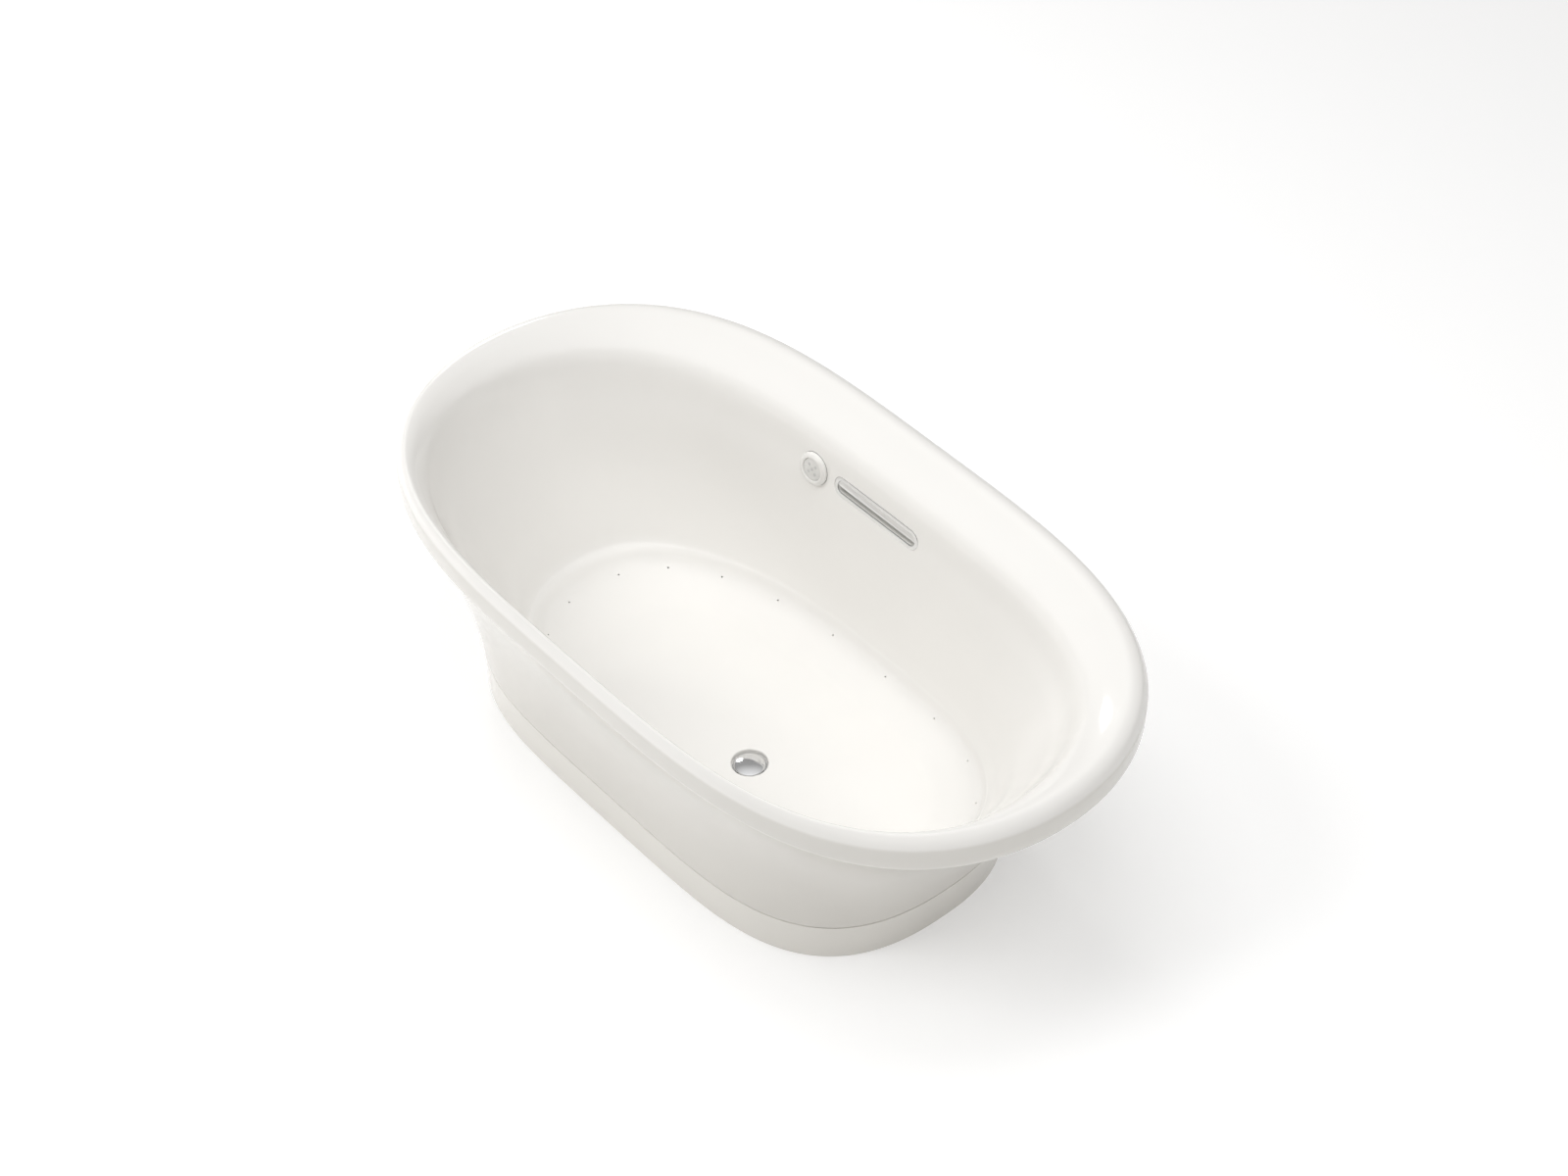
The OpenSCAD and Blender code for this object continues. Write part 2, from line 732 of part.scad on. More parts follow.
module backrest_heater() {
  outer = heater_rows(shell_thick + heater_gap + heater_thick);
  inner = heater_rows(shell_thick + heater_gap);
  m = len(outer);
  n = len(outer[0]);
  f = [for (i = [0 : m - 1]) [for (j = [0 : n - 1]) i * n + j]];
  b = [for (i = [0 : m - 1]) [for (j = [0 : n - 1]) (m + i) * n + j]];
  t = m - 1;
  e = n - 1;
  sheets = [for (i = [0 : m - 2]) for (j = [0 : n - 2]) each [
    [f[i][j], f[i][j + 1], f[i + 1][j + 1]], [f[i][j], f[i + 1][j + 1], f[i + 1][j]],
    [b[i][j], b[i + 1][j + 1], b[i][j + 1]], [b[i][j], b[i + 1][j], b[i + 1][j + 1]]]];
  rows = [for (j = [0 : n - 2]) each [
    [f[0][j + 1], f[0][j], b[0][j]], [f[0][j + 1], b[0][j], b[0][j + 1]],
    [f[t][j], f[t][j + 1], b[t][j + 1]], [f[t][j], b[t][j + 1], b[t][j]]]];
  ends = [for (i = [0 : m - 2]) each [
    [f[i][0], f[i + 1][0], b[i + 1][0]], [f[i][0], b[i + 1][0], b[i][0]],
    [f[i + 1][e], f[i][e], b[i][e]], [f[i + 1][e], b[i][e], b[i + 1][e]]]];
  color([0.55, 0.30, 0.16])
    polyhedron(points = [for (r = concat(outer, inner)) each r], faces = concat(sheets, rows, ends));
}

heater_route = [[-568, -60.6, 36], [-568, -84, 36], [-590, -100, 52], [-616, -84, 84], [-621, -50, 120],
  [-613, -18, 155], [-604.5, 0, 176], [-601.6, 0, 185.7], [-604.5, 0, 192.5]];

module heater_lead() {
  color(BLACK_PLASTIC) tube_along(heater_route, 2, [0.3, 0.2, 1], steps = 4, sides = 8);
}

// ---------- air ----------
channel_bottom = 72;
channel_top = 93;
channel_width = 26;
channel_wall = 2;
channel = [channel_bottom, -552, 496, -286, 284, 2.4, 3.6, 2.4];
inlet_turn = 205;
inlet_r = 11;

module air_channel() {
  w = channel_wall;
  full = channel_width;
  color(GREY_PLASTIC) difference() {
    ring_solid([
      oval_ring(inset(channel, 0, 0, channel_bottom)),
      oval_ring(inset(channel, 0, 0, channel_top)),
      oval_ring(inset(channel, w, w, channel_top)),
      oval_ring(inset(channel, w, w, channel_bottom + w)),
      oval_ring(inset(channel, full - w, full - w, channel_bottom + w)),
      oval_ring(inset(channel, full - w, full - w, channel_top)),
      oval_ring(inset(channel, full, full, channel_top)),
      oval_ring(inset(channel, full, full, channel_bottom))], closed = true);
    at_inlet() cylinder(r = inlet_r - 3, h = 90);
  }
}

module at_inlet() {
  half = channel_width / 2;
  p = oval_point(inset(channel, half, half, 0), inlet_turn);
  translate([p[0], p[1], 0]) children();
}

module air_inlet() {
  color(GREY_PLASTIC) at_inlet() ring(12, channel_bottom, inlet_r, inlet_r - 2);
}

basin_shell();
outer_shroud();
plinth_band();
rim_seal();
base_board();
support_rail_near();
support_rail_far();
cross_members();
weld_nuts();
foot_locknuts();
foot_pad_1();
foot_pad_2();
foot_pad_3();
foot_pad_4();
foot_stud_1();
foot_stud_2();
foot_stud_3();
foot_stud_4();
plinth_brackets();
bracket_screws();
drain_body();
drain_gasket();
drain_locknut();
drain_cap();
stopper_seal();
stopper_stem();
waste_tee();
tail_pipe();
tail_nut();
overflow_trim();
overflow_bar();
overflow_gasket();
overflow_housing();
overflow_hose();
hose_clamps();
keypad_bezel();
keypad_face();
key_power();
key_heat();
key_air();
key_more();
key_less();
keypad_board();
keypad_housing();
keypad_nut();
keypad_lead();
control_tray();
control_box();
control_lid();
power_gland();
backrest_heater();
heater_lead();
air_channel();
air_inlet();
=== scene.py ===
import json
import math

import bmesh
import bpy
import numpy as np
from mathutils import Matrix, Vector
from mathutils.bvhtree import BVHTree
from mathutils.interpolate import poly_3d_calc


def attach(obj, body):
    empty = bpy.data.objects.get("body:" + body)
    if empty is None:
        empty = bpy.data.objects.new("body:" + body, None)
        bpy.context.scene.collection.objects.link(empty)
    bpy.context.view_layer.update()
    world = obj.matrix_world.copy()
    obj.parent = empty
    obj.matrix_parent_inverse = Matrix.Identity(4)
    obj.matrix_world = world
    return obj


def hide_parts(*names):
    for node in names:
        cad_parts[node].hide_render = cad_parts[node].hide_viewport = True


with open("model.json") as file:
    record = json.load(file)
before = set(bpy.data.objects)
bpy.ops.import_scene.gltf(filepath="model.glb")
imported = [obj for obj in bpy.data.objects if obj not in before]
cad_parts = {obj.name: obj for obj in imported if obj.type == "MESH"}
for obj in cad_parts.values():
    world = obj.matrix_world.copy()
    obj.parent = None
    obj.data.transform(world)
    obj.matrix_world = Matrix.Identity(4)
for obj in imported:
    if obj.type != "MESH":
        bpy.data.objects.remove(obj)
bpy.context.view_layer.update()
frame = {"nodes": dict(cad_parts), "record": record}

MM = 0.001
NODES = frame["nodes"]
TUB = "tub"

# ---------- camera ----------
CAMERA_AT = (3.4385, -2.8461, 4.6130)
CAMERA_BACK = Vector((0.55967, -0.47357, 0.68008))    # from what it looks at, back to the camera
SENSOR_MM, LENS_MM = 36.0, 75.42
camera = bpy.data.objects.new("camera", bpy.data.cameras.new("camera"))
bpy.context.scene.collection.objects.link(camera)
camera.location = CAMERA_AT
camera.rotation_mode = "QUATERNION"
camera.rotation_quaternion = (-CAMERA_BACK).to_track_quat("-Z", "Y")
camera.data.sensor_width = SENSOR_MM
camera.data.lens = LENS_MM
camera.data.clip_start = 0.1
camera.data.clip_end = 60.0
bpy.context.scene.camera = camera

# ---------- the part's own measures, in millimetres ----------
EDGE_Z, LIP_Z, FLOOR_Z = 548.0, 505.0, 92.0
SHELL, SHROUD = 6.0, 5.0                     # wall thicknesses
DRAIN = (50.0, -65.0)
TILT, YAW = 7.7, 3.0                         # the far wall's lean, and the keypad's turn, in degrees
FITTINGS_Z = 466.0
WALL_Y = 304.6 + (FITTINGS_Z - 420) * math.tan(math.radians(TILT))    # the far wall at that height
SLOT = (-21.0, WALL_Y, FITTINGS_Z)
SLOT_LENGTH, SLOT_WIDTH = 228, 34
KEYPAD = (-196.0, WALL_Y - 3.4, FITTINGS_Z)
KEYPAD_HOLE = 22
KEY_RING = 12                                # radius of the ring of four keys
KEYS = (("power", 0, 0), ("heat", KEY_RING, 135), ("air", KEY_RING, 45),
        ("more", KEY_RING, -45), ("less", KEY_RING, -135))
RECESS = 1.5                                 # how deep the wall fittings sit in their lands
FEET = ((-360, -170), (-360, 170), (360, -170), (360, 170))
SEG = 288                                    # points round each oval


def inset(o, end, side, z):
    """An oval drawn in by `end` at its ends and `side` at its sides, at height z."""
    return [z, o[1] + end, o[2] - end, o[3] + side, o[4] - side, o[5], o[6], o[7]]


# [z, head x, foot x, near y, far y, head squareness, foot squareness, side squareness]
EDGE = [EDGE_Z, -832.5, 832.5, -456, 456, 3.55, 3.55, 2.06]
SKIN = [
    inset(EDGE, 8.5, 8.5, LIP_Z),
    inset(EDGE, 4.5, 4.5, 507.5),
    inset(EDGE, 1.2, 1.2, 514),
    inset(EDGE, 0.2, 0.2, 526),
    EDGE,
    inset(EDGE, 0.4, 0.4, 553.5),
    inset(EDGE, 2.2, 2.0, 558.5),
    inset(EDGE, 6.5, 5.0, 565.5),
    inset(EDGE, 13.5, 8.8, 572.5),
    [578, -806, 806, -443, 428, 3.55, 3.55, 2.06],
    [573, -788, 790, -437, 408, 3.5, 3.62, 2.07],
    [560, -762, 768, -431, 364, 3.4, 3.8, 2.08],
    [545, -743, 752, -426, 333, 3.3, 3.95, 2.1],
    [520, -729, 736, -420, 318, 3.2, 4.05, 2.12],
    [470, -709, 705, -406, 311.2, 3.0, 4.1, 2.15],
    [420, -689, 670, -386, 304.6, 2.8, 4.0, 2.18],
    [300, -642, 592, -342, 299, 2.5, 3.8, 2.25],
    [185, -592, 530, -314, 294, 2.2, 3.7, 2.35],
    [151, -575, 507, -304, 289.5, 2.1, 3.7, 2.4],
    [146.5, -570, 504, -302, 288.5, 2.1, 3.7, 2.4],
    [144, -560, 501.5, -300.5, 287.5, 2.12, 3.72, 2.4],
    [124, -537, 489, -293, 281, 2.2, 3.8, 2.4],
    [109, -508, 466, -273, 262, 2.35, 3.8, 2.4],
    [98, -464, 434, -238, 228, 2.4, 3.7, 2.35],
    [92, -418, 402, -206, 196, 2.4, 3.5, 2.3],
    [92, -340, 340, -185, 140, 2.4, 3.0, 2.2],
    [92, DRAIN[0] - 70, DRAIN[0] + 70, DRAIN[1] - 70, DRAIN[1] + 70, 2, 2, 2],
]
# how many ovals are made from each row of SKIN to the next
SKIN_STEPS = [3, 3, 3, 3, 2, 3, 3, 4, 5, 6, 10, 12, 12, 10, 9, 12, 12, 8, 3, 4, 6, 6, 7, 6, 5, 4]
JETS, JET_Z, JET_RADIUS = 20, 112, 1.8
JET_TILT, JET_REACH = -35, 20                # the cutters' lean in degrees, and their half length
JET_OVALS = ([122, -536, 492, -294, 282, 2.2, 3.8, 2.4], [102, -500, 474, -276, 268, 2.4, 3.9, 2.4])
FOOT_OVAL = [0, -645, 523, -320, 320, 4.36, 4.36, 2.4]
SHROUD_OVAL = inset(EDGE, 42, 10.6, LIP_Z)
FLARE = 1.93                                 # power by which the shroud runs from its foot to its top


# ---------- curves and rings ----------
def monotone(t, y, s):
    """A smooth curve through (t, y) that never overshoots its points, read at s."""
    h = np.diff(t)
    d = np.diff(y) / h
    m = np.zeros(len(y))
    for i in range(1, len(y) - 1):
        if d[i - 1] * d[i] > 0:
            w1, w2 = 2 * h[i] + h[i - 1], h[i] + 2 * h[i - 1]
            m[i] = (w1 + w2) / (w1 / d[i - 1] + w2 / d[i])
    m[0], m[-1] = d[0], d[-1]
    k = np.clip(np.searchsorted(t, s) - 1, 0, len(h) - 1)
    u = (s - t[k]) / h[k]
    return ((1 + 2 * u) * (1 - u) ** 2 * y[k] + u * (1 - u) ** 2 * h[k] * m[k]
            + u * u * (3 - 2 * u) * y[k + 1] + u * u * (u - 1) * h[k] * m[k + 1])


def oval_points(o, u):
    """The points of an oval at the angles u, in millimetres."""
    c, s = np.cos(u), np.sin(u)
    p = np.where(c < 0, o[5], o[6])
    side = np.maximum(0, 1 - np.abs(c) ** p) ** (1 / o[7])
    side[np.abs(s) < 1e-9] = 0
    x = (o[1] + o[2]) / 2 + (o[2] - o[1]) / 2 * c
    y = (o[3] + o[4]) / 2 + (o[4] - o[3]) / 2 * np.sign(s) * side
    return np.stack([x, y, np.full(len(u), float(o[0]))], 1)


def angles(seg):
    return np.arange(seg) * 2 * math.pi / seg


def oval_ring(o):
    return oval_points(o, angles(SEG))


def blended_ovals(table, steps):
    """More ovals between those of the table, on one smooth profile."""
    a = np.array(table, float)
    gaps = np.abs(np.diff(a[:, :5], axis=0))
    t = np.concatenate([[0], np.cumsum(gaps[:, 0] + gaps[:, 1:].mean(1) + 1)])
    spans = [t[i] + (t[i + 1] - t[i]) * np.arange(n) / n for i, n in enumerate(steps)]
    s = np.concatenate(spans + [t[-1:]])
    out = np.stack([monotone(t, a[:, c], s) for c in range(8)], 1)
    for _ in range(2):
        soft = out.copy()
        soft[1:-1] = 0.25 * out[:-2] + 0.5 * out[1:-1] + 0.25 * out[2:]
        level = np.abs(soft[:, 0] - FLOOR_Z) < 0.5
        soft[level] = out[level]             # the floor stays flat
        out = soft
    return out


def ring_normals(g):
    """Outward normals of a stack of rings that runs down the inside."""
    along = np.empty_like(g)
    along[1:-1] = g[2:] - g[:-2]
    along[0], along[-1] = g[1] - g[0], g[-1] - g[-2]
    around = np.roll(g, -1, 1) - np.roll(g, 1, 1)
    n = np.cross(around, along)
    return n / np.maximum(np.linalg.norm(n, axis=2, keepdims=True), 1e-9)


def circle_ring(r, z, centre=DRAIN, seg=SEG):
    u = angles(seg)
    return np.stack([centre[0] + r * np.cos(u), centre[1] + r * np.sin(u), np.full(seg, float(z))], 1)


def arc(cx, cz, r, a0, a1, n):
    """Points (radius, height) of an arc, ends included, angles in degrees."""
    a = np.radians(np.linspace(a0, a1, n))
    return [(cx + r * math.cos(k), cz + r * math.sin(k)) for k in a]


# ---------- meshes ----------
def finish_object(name, verts, faces, sharp=35):
    """A named object from vertices in metres, with smooth faces and sharp edges by angle."""
    mesh = bpy.data.meshes.new(name)
    mesh.from_pydata([tuple(map(float, v)) for v in verts], [], [tuple(f) for f in faces])
    obj = bpy.data.objects.new(name, mesh)
    bpy.context.scene.collection.objects.link(obj)
    bm = bmesh.new()
    bm.from_mesh(mesh)
    bmesh.ops.recalc_face_normals(bm, faces=bm.faces)
    bm.to_mesh(mesh)
    bm.free()
    smooth(mesh, sharp)
    return obj


def smooth(mesh, sharp=35):
    mesh.polygons.foreach_set("use_smooth", [True] * len(mesh.polygons))
    mesh.set_sharp_from_angle(angle=math.radians(sharp))
    mesh.update()


def rings_mesh(name, rings, closed=True, caps=False, sharp=35):
    """A skin over rings of equal length, in millimetres."""
    n, m = len(rings[0]), len(rings)
    verts = np.concatenate(rings) * MM
    faces = []
    for i in range(m if closed else m - 1):
        k = (i + 1) % m
        faces += [(i * n + j, i * n + (j + 1) % n, k * n + (j + 1) % n, k * n + j) for j in range(n)]
    if caps:
        faces += [tuple(range(n))[::-1], tuple((m - 1) * n + j for j in range(n))]
    return finish_object(name, verts, faces, sharp)


BLOCK_FACES = ((0, 1, 2, 3), (7, 6, 5, 4), (0, 4, 5, 1), (1, 5, 6, 2), (2, 6, 7, 3), (3, 7, 4, 0))
SPOKE_FACES = ((0, 3, 2, 1), (4, 5, 6, 7), (0, 1, 5, 4), (1, 2, 6, 5), (2, 3, 7, 6), (3, 0, 4, 7))


def box(name, low, high, at, faces):
    """A box between two corners, in millimetres of the frame `at`."""
    (x0, y0, z0), (x1, y1, z1) = low, high
    corners = [(x0, y0), (x1, y0), (x1, y1), (x0, y1)]
    return finish_object(name, [at @ (Vector((x, y, z)) * MM) for z in (z0, z1) for x, y in corners], faces)


def lathe(name, profile, at, seg=96, closed=True, sharp=35):
    """A turned piece: (radius, height) points in millimetres, turned about +Z of the frame `at`."""
    verts, faces, rows = [], [], []
    for r, z in profile:
        if r < 1e-6:
            rows.append([len(verts)] * seg)
            verts.append((0, 0, z * MM))
            continue
        rows.append(list(range(len(verts), len(verts) + seg)))
        turns = [2 * math.pi * j / seg for j in range(seg)]
        verts += [(r * MM * math.cos(u), r * MM * math.sin(u), z * MM) for u in turns]
    pairs = list(zip(rows, rows[1:])) + ([(rows[-1], rows[0])] if closed else [])
    for a, b in pairs:
        for j in range(seg):
            k = (j + 1) % seg
            quad = [a[j], a[k], b[k], b[j]]
            face = [v for i, v in enumerate(quad) if v not in quad[:i]]
            if len(face) > 2:
                faces.append(face)
    return finish_object(name, [at @ Vector(v) for v in verts], faces, sharp)


def rounded(points, radii, steps=5):
    """A closed outline with its corners rounded; radii has a number for each corner."""
    out, n = [], len(points)
    for i, (p, r) in enumerate(zip(points, radii)):
        p = Vector(p)
        a, b = Vector(points[i - 1]) - p, Vector(points[(i + 1) % n]) - p
        if r <= 0:
            out.append(tuple(p))
            continue
        half = a.angle(b) / 2
        cut = min(r / math.tan(half), a.length * 0.49, b.length * 0.49)
        p0, p1 = p + a.normalized() * cut, p + b.normalized() * cut
        for k in range(steps + 1):
            t = k / steps
            q = p0 * (1 - t) ** 2 + p * 2 * t * (1 - t) + p1 * t * t
            out.append(tuple(q))
    return out


def stadium_outline(length, width):
    """Points of a stadium and the outward directions there."""
    turn, straight = 24, 12                  # steps round each end and along each side
    reach, r = (length - width) / 2, width / 2
    pts, out = [], []
    for s, a0 in ((1, -90), (-1, 90)):
        for k in range(turn + 1):
            a = math.radians(a0 + 180 * k / turn)
            pts.append((s * reach + r * math.cos(a), r * math.sin(a)))
            out.append((math.cos(a), math.sin(a)))
    full_pts, full_out = [], []
    for i, (p, d) in enumerate(zip(pts, out)):
        full_pts.append(p)
        full_out.append(d)
        if i in (turn, 2 * turn + 1):
            q = pts[(i + 1) % len(pts)]
            for k in range(1, straight):
                t = k / straight
                full_pts.append((p[0] * (1 - t) + q[0] * t, p[1]))
                full_out.append(d)
    return np.array(full_pts), np.array(full_out)


def stadium_sweep(name, length, width, profile, at, closed=True, caps=False):
    """A profile of (offset outward, height) points swept round a stadium, in the frame `at`."""
    pts, out = stadium_outline(length, width)
    rings = [np.concatenate([pts + out * o, np.full((len(pts), 1), float(z))], 1) for o, z in profile]
    obj = rings_mesh(name, rings, closed, caps)
    obj.data.transform(at)
    obj.data.update()
    return obj


def bool_op(obj, cutter, operation):
    """Applies a boolean to the object's mesh and removes the cutter."""
    mod = obj.modifiers.new("cut", "BOOLEAN")
    mod.operation = operation
    mod.object = cutter
    mod.solver = "MANIFOLD"
    dg = bpy.context.evaluated_depsgraph_get()
    mesh = bpy.data.meshes.new_from_object(obj.evaluated_get(dg))
    obj.modifiers.clear()
    old = obj.data
    obj.data = mesh
    mesh.name = old.name
    bpy.data.meshes.remove(old)
    bpy.data.objects.remove(cutter)


def join_shapes(name, objs):
    """One object from several that are welded into one solid."""
    base = objs[0]
    for o in objs[1:]:
        bool_op(base, o, "UNION")
    base.name = name
    base.data.name = name
    smooth(base.data)
    return base


# ---------- materials ----------
MIX_FACTOR, MIX_A, MIX_B, MIX_RESULT = 0, 6, 7, 2    # the colour mix node's sockets


def principled(mat):
    return mat.node_tree.nodes["Principled BSDF"]


def new_material(name, color, rough, metallic=0.0, coat=0.0, ior=1.45):
    mat = bpy.data.materials.new(name)
    mat.use_nodes = True
    shader = principled(mat)
    shader.inputs["Base Color"].default_value = (*color, 1)
    shader.inputs["Roughness"].default_value = rough
    shader.inputs["Metallic"].default_value = metallic
    shader.inputs["IOR"].default_value = ior
    shader.inputs["Coat Weight"].default_value = coat
    shader.inputs["Coat Roughness"].default_value = 0.04
    return mat


def node(mat, kind, **values):
    made = mat.node_tree.nodes.new(kind)
    for key, value in values.items():
        if key in made.inputs:
            made.inputs[key].default_value = value
        else:
            setattr(made, key, value)
    return made


def link(mat, a, out, b, into):
    mat.node_tree.links.new(a.outputs[out], b.inputs[into])


def place(mat, stretch=(1, 1, 1)):
    """Object coordinates in metres, stretched."""
    coord = node(mat, "ShaderNodeTexCoord")
    mapping = node(mat, "ShaderNodeMapping")
    mapping.inputs["Scale"].default_value = stretch
    link(mat, coord, "Object", mapping, "Vector")
    return mapping


def noise(mat, where, scale, detail, roughness=0.55, distortion=0.0):
    n = node(mat, "ShaderNodeTexNoise", Scale=scale, Detail=detail, Roughness=roughness,
             Distortion=distortion)
    link(mat, where, "Vector", n, "Vector")
    return n


def ramp(mat, source, low, high, lo=0.0, hi=1.0, out="Fac"):
    """A colour ramp from `low` at lo to `high` at hi, driven by one output of `source`."""
    made = node(mat, "ShaderNodeValToRGB")
    for element, position, color in zip(made.color_ramp.elements, (lo, hi), (low, high)):
        element.position = position
        element.color = (*color, 1)
    link(mat, source, out, made, "Fac")
    return made


def color_between(mat, source, low, high, lo=0.3, hi=0.7, out="Fac"):
    link(mat, ramp(mat, source, low, high, lo, hi, out), "Color", principled(mat), "Base Color")


def rough_between(mat, source, low, high):
    span = node(mat, "ShaderNodeMapRange")
    span.inputs["From Min"].default_value = 0.3
    span.inputs["From Max"].default_value = 0.7
    span.inputs["To Min"].default_value = low
    span.inputs["To Max"].default_value = high
    link(mat, source, "Fac", span, "Value")
    link(mat, span, "Result", principled(mat), "Roughness")


def bumps(mat, *layers):
    """Bump layers (source, output, distance in metres, strength), one over the other."""
    last = None
    for source, out, distance, strength in layers:
        b = node(mat, "ShaderNodeBump")
        b.inputs["Strength"].default_value = strength
        b.inputs["Distance"].default_value = distance
        link(mat, source, out, b, "Height")
        if last:
            link(mat, last, "Normal", b, "Normal")
        last = b
    link(mat, last, "Normal", principled(mat), "Normal")


def color_by_mark(mat, attribute, color):
    """Turns the base colour to `color` where the point attribute is 1, and gives back its node."""
    shader = principled(mat)
    base = shader.inputs["Base Color"].links[0].from_node
    mark = node(mat, "ShaderNodeAttribute", attribute_name=attribute)
    mix = node(mat, "ShaderNodeMix", data_type="RGBA")
    mix.inputs[MIX_B].default_value = (*color, 1)
    link(mat, mark, "Fac", mix, MIX_FACTOR)
    link(mat, base, "Color", mix, MIX_A)
    link(mat, mix, MIX_RESULT, shader, "Base Color")
    return mark


def tone(c, k):
    return tuple(min(1.0, v * k) for v in c)


def acrylic(name, color, rough):
    """Gloss acrylic: faint cloudiness and haze, a slow waviness and fine orange peel. It has no coat,
    because a second gloss layer breaks into specks where the skin is seen edge-on."""
    mat = new_material(name, color, rough, ior=1.49)
    where = place(mat)
    cloud = noise(mat, where, 2.2, 4)
    color_between(mat, cloud, tone(color, 0.985), tone(color, 1.01))
    haze = noise(mat, where, 14, 5, 0.6)
    rough_between(mat, haze, rough * 0.8, rough * 1.3)
    slow = noise(mat, where, 5, 1)
    peel = noise(mat, where, 420, 2)
    bumps(mat, (slow, "Fac", 0.0006, 0.10), (peel, "Fac", 0.00004, 0.15))
    return mat


def basin_acrylic(name, inner, outer, rough):
    """The same gloss acrylic with painted shade on the lip's outer face, in the darker tone of the outer
    skin.
    """
    mat = acrylic(name, inner, rough)
    # painted shade: the lip's outer face takes the darker tone given for it
    color_by_mark(mat, "painted_lip_shade", outer)
    return mat


def chrome(name):
    """Polished chrome: faint smears, a slight change of tone and hairlines."""
    mat = new_material(name, (0.90, 0.905, 0.915), 0.045, metallic=1.0)
    where = place(mat)
    smear = noise(mat, where, 60, 4, 0.6, 0.3)
    rough_between(mat, smear, 0.045, 0.12)
    color_between(mat, noise(mat, where, 9, 2), (0.87, 0.875, 0.885), (0.92, 0.925, 0.93))
    hair = noise(mat, place(mat, (1, 14, 14)), 300, 2)
    bumps(mat, (hair, "Fac", 0.00002, 0.2))
    return mat


def lined_chrome(name, inside):
    """Chrome with a pale moulded lining, where the attribute "liner" is 1."""
    mat = chrome(name)
    mark = color_by_mark(mat, "liner", inside)
    metal = node(mat, "ShaderNodeMath", operation="SUBTRACT")
    metal.inputs[0].default_value = 1.0
    link(mat, mark, "Fac", metal, 1)
    link(mat, metal, "Value", principled(mat), "Metallic")
    return mat


def steel(name, color):
    """Zinc-plated steel with spangle, drawn lines and rubbed patches."""
    mat = new_material(name, color, 0.34, metallic=1.0)
    where = place(mat)
    cells = node(mat, "ShaderNodeTexVoronoi", Scale=90.0)
    link(mat, where, "Vector", cells, "Vector")
    color_between(mat, cells, tone(color, 0.82), tone(color, 1.12), 0.1, 0.9, "Distance")
    rough_between(mat, noise(mat, where, 35, 5, 0.65), 0.24, 0.46)
    lines = noise(mat, place(mat, (1, 40, 40)), 60, 3)
    bumps(mat, (lines, "Fac", 0.00005, 0.35), (cells, "Distance", 0.00003, 0.3))
    return mat


def plastic(name, color, rough, grain=900.0, coat=0.0):
    """Moulded plastic with a fine spark-eroded grain and slight scuffing."""
    mat = new_material(name, color, rough, coat=coat, ior=1.48)
    where = place(mat)
    color_between(mat, noise(mat, where, 22, 4), tone(color, 0.90), tone(color, 1.08))
    rough_between(mat, noise(mat, where, 70, 4, 0.6), rough * 0.85, rough * 1.2)
    bumps(mat, (noise(mat, where, grain, 2), "Fac", 0.00006, 0.35),
          (noise(mat, where, 12, 2), "Fac", 0.0002, 0.2))
    return mat


def rubber(name, color):
    """Dull rubber with dust in its grain."""
    mat = new_material(name, color, 0.72)
    where = place(mat)
    dust = noise(mat, where, 45, 5, 0.65)
    color_between(mat, dust, tone(color, 0.8), tone(color, 1.9), 0.4, 0.8)
    rough_between(mat, dust, 0.62, 0.85)
    bumps(mat, (noise(mat, where, 700, 3), "Fac", 0.0001, 0.4))
    return mat


def board(name):
    """Pressed wood board: flat chips, pale and brown, under a thin resin."""
    mat = new_material(name, (0.50, 0.36, 0.21), 0.62)
    where = place(mat, (1, 2.3, 1))
    chips = node(mat, "ShaderNodeTexVoronoi", Scale=70.0)
    link(mat, where, "Vector", chips, "Vector")
    grain = noise(mat, place(mat, (5, 60, 5)), 9, 5, 0.7, 1.2)
    pale = ramp(mat, chips, (0.36, 0.23, 0.12), (0.66, 0.50, 0.31), out="Distance")
    brown = ramp(mat, grain, (0.42, 0.29, 0.16), (0.62, 0.47, 0.30))
    mix = node(mat, "ShaderNodeMix", data_type="RGBA")
    mix.inputs["Factor"].default_value = 0.5
    link(mat, pale, "Color", mix, MIX_A)
    link(mat, brown, "Color", mix, MIX_B)
    link(mat, mix, MIX_RESULT, principled(mat), "Base Color")
    rough_between(mat, grain, 0.5, 0.75)
    bumps(mat, (chips, "Distance", 0.0003, 0.4), (grain, "Fac", 0.0002, 0.3))
    return mat


def striped(name, base, stripe, scale, rough):
    """A printed film: parallel tracks on a thin sheet."""
    mat = new_material(name, base, rough, coat=0.2)
    where = place(mat)
    wave = node(mat, "ShaderNodeTexWave", Scale=scale, Distortion=0.0, bands_direction="Z")
    link(mat, where, "Vector", wave, "Vector")
    color_between(mat, wave, base, stripe, 0.55, 0.62)
    rough_between(mat, noise(mat, where, 50, 3), rough * 0.8, rough * 1.3)
    bumps(mat, (wave, "Fac", 0.0001, 0.3))
    return mat


